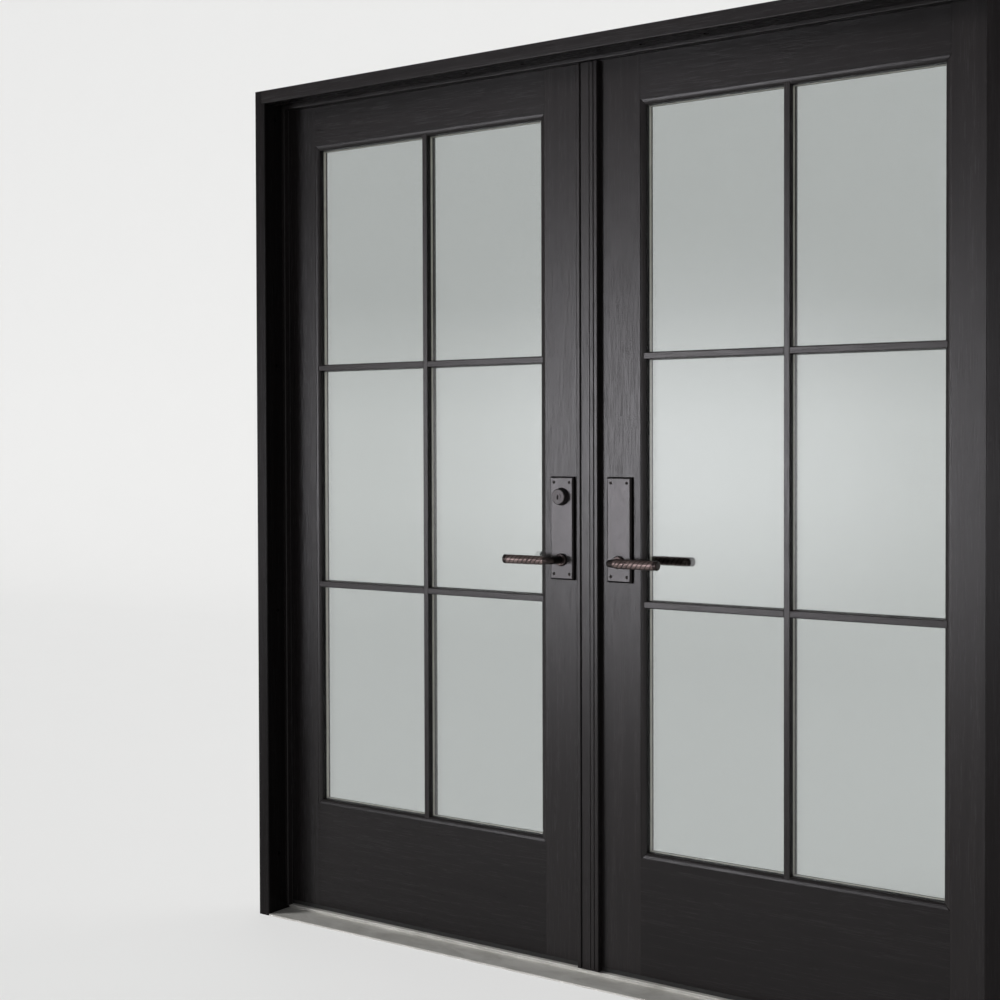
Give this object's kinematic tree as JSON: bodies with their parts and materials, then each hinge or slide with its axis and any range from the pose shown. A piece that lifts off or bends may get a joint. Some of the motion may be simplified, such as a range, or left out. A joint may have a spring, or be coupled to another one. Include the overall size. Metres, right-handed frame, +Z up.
{
  "type": "french doors",
  "caption": "Pair of inswing glazed doors in a wood frame, with divided lights, a split astragal, lever handles, a deadbolt, shoot bolts and a metal threshold.",
  "frame": {"origin": "under the sill on the centre line, in the plane of the leaves' outer faces", "axes": "+X to the right seen from outside, +Y into the room, +Z up"},
  "size_m": [1.8926, 0.1837, 2.0422],
  "materials": {
    "leaf_wood": "dark espresso stain under satin varnish, fine grain",
    "frame_wood": "dark espresso stain under satin varnish, fine grain",
    "glass": "clear float glass, strongly reflective",
    "spacer": "beige anodised",
    "seal": "matte black",
    "composite": "wood-fibre composite",
    "sill_metal": "satin mill finish",
    "hinge_metal": "oil-rubbed bronze",
    "bronze": "oil-rubbed bronze, satin",
    "brass": "worn satin",
    "steel": "zinc-plated"
  },
  "bodies": {
    "frame": {"left_jamb": "frame_wood", "right_jamb": "frame_wood", "head_jamb": "frame_wood", "door_stops": "frame_wood", "stop_weatherstrips": "seal", "sill_substrate": "composite", "threshold": "sill_metal", "bolt_keepers": "steel", "jamb_hinge_leaves": "hinge_metal", "hinge_pins": "hinge_metal"},
    "active_leaf": {"active_hinge_stile": "leaf_wood", "active_lock_stile": "leaf_wood", "active_bottom_rail": "leaf_wood", "active_top_rail": "leaf_wood", "active_glazing_beads": "leaf_wood", "active_outer_pane": "glass", "active_inner_pane": "glass", "active_spacer": "spacer", "active_outer_bars": "leaf_wood", "active_inner_bars": "leaf_wood", "active_sweep": "seal", "active_hinge_leaves": "hinge_metal", "active_lock_case": "steel", "active_outer_plate": "bronze", "active_inner_plate": "bronze", "active_astragal": "leaf_wood", "active_edge_seal": "seal", "key_cylinder": "bronze"},
    "active_lever": {"active_outer_lever": "bronze", "active_inner_lever": "bronze", "active_spindle": "steel"},
    "passive_leaf": {"passive_hinge_stile": "leaf_wood", "passive_lock_stile": "leaf_wood", "passive_bottom_rail": "leaf_wood", "passive_top_rail": "leaf_wood", "passive_glazing_beads": "leaf_wood", "passive_outer_pane": "glass", "passive_inner_pane": "glass", "passive_spacer": "spacer", "passive_outer_bars": "leaf_wood", "passive_inner_bars": "leaf_wood", "passive_sweep": "seal", "passive_hinge_leaves": "hinge_metal", "passive_lock_case": "steel", "passive_outer_plate": "bronze", "passive_inner_plate": "bronze", "passive_astragal": "leaf_wood"},
    "passive_lever": {"passive_outer_lever": "bronze", "passive_inner_lever": "bronze", "passive_spindle": "steel"},
    "lock_core": {"key_plug": "brass", "thumbturn": "bronze"},
    "latch_tongue": {"latch_tongue": "steel"},
    "deadbolt": {"deadbolt": "steel"},
    "top_bolt": {"top_shoot_bolt": "steel"},
    "bottom_bolt": {"bottom_shoot_bolt": "steel"}
  },
  "joints": [
    {"name": "active_leaf_swing", "type": "hinge", "parent": "frame", "child": "active_leaf", "pos_m": [-0.91325, 0.0518, 0], "axis": [0, 0, 1], "range_deg": [0, 110]},
    {"name": "active_lever_turn", "type": "hinge", "parent": "active_leaf", "child": "active_lever", "pos_m": [-0.075, 0.02225, 0.91465], "axis": [0, 1, 0], "range_deg": [-40, 40], "stiffness_Nm_per_rad": 8},
    {"name": "latch_tongue_slide", "type": "slide", "parent": "active_leaf", "child": "latch_tongue", "axis": [1, 0, 0], "range_m": [-0.019, 0.019]},
    {"name": "lock_turn", "type": "hinge", "parent": "active_leaf", "child": "lock_core", "pos_m": [-0.075, 0.02225, 1.05435], "axis": [0, 1, 0], "range_deg": [0, 90]},
    {"name": "deadbolt_slide", "type": "slide", "parent": "active_leaf", "child": "deadbolt", "axis": [1, 0, 0], "range_m": [0, 0.025]},
    {"name": "passive_leaf_swing", "type": "hinge", "parent": "frame", "child": "passive_leaf", "pos_m": [0.91325, 0.0518, 0], "axis": [0, 0, -1], "range_deg": [0, 110]},
    {"name": "passive_lever_turn", "type": "hinge", "parent": "passive_leaf", "child": "passive_lever", "pos_m": [0.075, 0.02225, 0.91465], "axis": [0, -1, 0], "range_deg": [-40, 40], "stiffness_Nm_per_rad": 8},
    {"name": "top_bolt_slide", "type": "slide", "parent": "passive_leaf", "child": "top_bolt", "axis": [0, 0, 1], "range_m": [-0.016, 0.016]},
    {"name": "bottom_bolt_slide", "type": "slide", "parent": "passive_leaf", "child": "bottom_bolt", "axis": [0, 0, -1], "range_m": [-0.016, 0.016]}
  ],
  "couplings": [
    {"joint": "latch_tongue_slide", "follows": "active_lever_turn", "m_per_rad": 0.027215},
    {"joint": "deadbolt_slide", "follows": "lock_turn", "m_per_rad": 0.015915},
    {"joint": "top_bolt_slide", "follows": "passive_lever_turn", "m_per_rad": 0.022915},
    {"joint": "bottom_bolt_slide", "follows": "passive_lever_turn", "m_per_rad": 0.022915}
  ]
}
